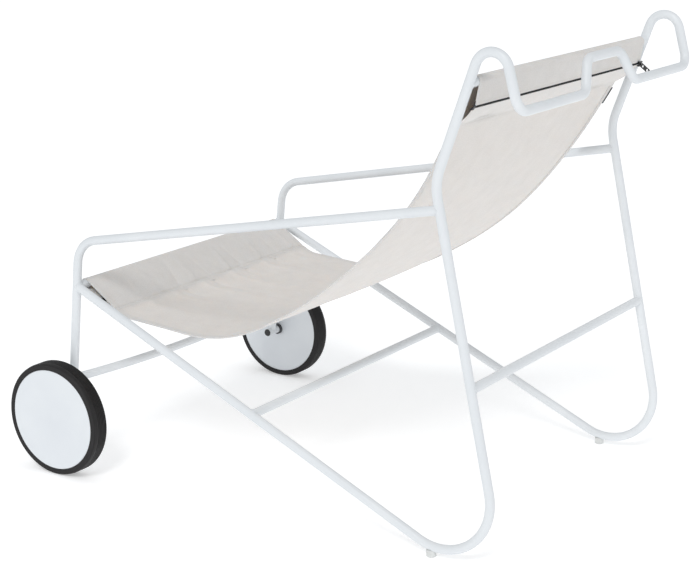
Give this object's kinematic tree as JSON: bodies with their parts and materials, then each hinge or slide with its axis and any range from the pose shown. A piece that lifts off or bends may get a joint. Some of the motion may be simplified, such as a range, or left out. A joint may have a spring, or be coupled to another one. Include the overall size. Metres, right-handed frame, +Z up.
{
  "type": "wheeled sun lounger",
  "caption": "Low garden lounge chair: fixed white tube frame on two wheels and two feet, with a lift handle behind the head and a zipped fabric sling.",
  "frame": {"origin": "on the floor, at the middle of the whole object's width and length", "axes": "+X towards the sitter's left side, +Y towards the back and the handle, +Z up; the wheels are at the -Y end"},
  "size_m": [0.825, 1.1698, 0.9329],
  "materials": {
    "white_tube": "satin powder coat",
    "black_plug": "matte",
    "steel_pin": "plain",
    "dark_spacer": "matte",
    "white_wheel": "smooth, low sheen",
    "tyre_rubber": "matte, ribbed tread",
    "white_foot": "matte",
    "sling_cloth": "plain woven outdoor cloth",
    "tab_cloth": "woven tape",
    "zip_teeth": "moulded teeth on tape",
    "zip_metal": "black lacquer"
  },
  "bodies": {
    "frame": {"side_tube_left": "white_tube", "side_tube_right": "white_tube", "arm_tube_left": "white_tube", "arm_tube_right": "white_tube", "handle_rail": "white_tube", "top_sling_bar": "white_tube", "front_sling_bar": "white_tube", "front_cross_tube": "white_tube", "middle_stretcher": "white_tube", "rear_stretcher": "white_tube", "axle_sleeve_left": "white_tube", "axle_sleeve_right": "white_tube", "sleeve_plug_left": "black_plug", "sleeve_plug_right": "black_plug", "axle_pin_left": "steel_pin", "axle_pin_right": "steel_pin", "wheel_spacer_left": "dark_spacer", "wheel_spacer_right": "dark_spacer", "foot_left": "white_foot", "foot_right": "white_foot", "sling": "sling_cloth", "edge_tab": "tab_cloth", "top_zip_teeth": "zip_teeth", "front_zip_teeth": "zip_teeth"},
    "left_wheel": {"wheel_rim_left": "white_wheel", "wheel_cover_left": "white_wheel", "tyre_left": "tyre_rubber"},
    "right_wheel": {"wheel_rim_right": "white_wheel", "wheel_cover_right": "white_wheel", "tyre_right": "tyre_rubber"},
    "top_slider": {"top_zip_slider": "zip_metal"},
    "top_pull": {"top_zip_pull": "zip_metal"},
    "front_slider": {"front_zip_slider": "zip_metal"},
    "front_pull": {"front_zip_pull": "zip_metal"}
  },
  "joints": [
    {"name": "left_wheel_spin", "type": "hinge", "parent": "frame", "child": "left_wheel", "pos_m": [0.394, -0.4659, 0.119], "axis": [1, 0, 0], "continuous": true},
    {"name": "right_wheel_spin", "type": "hinge", "parent": "frame", "child": "right_wheel", "pos_m": [-0.394, -0.4659, 0.119], "axis": [1, 0, 0], "continuous": true},
    {"name": "top_zip_slide", "type": "slide", "parent": "frame", "child": "top_slider", "axis": [1, 0, 0], "range_m": [0, 0.652]},
    {"name": "top_pull_swing", "type": "hinge", "parent": "top_slider", "child": "top_pull", "pos_m": [-0.326, 0.48835, 0.82553], "axis": [0, 0.974, -0.2265], "range_deg": [-146, 34]},
    {"name": "front_zip_slide", "type": "slide", "parent": "frame", "child": "front_slider", "axis": [1, 0, 0], "range_m": [0, 0.652]},
    {"name": "front_pull_swing", "type": "hinge", "parent": "front_slider", "child": "front_pull", "pos_m": [-0.326, -0.39992, 0.35676], "axis": [0, -0.2435, -0.9699], "range_deg": [-90, 90]}
  ]
}
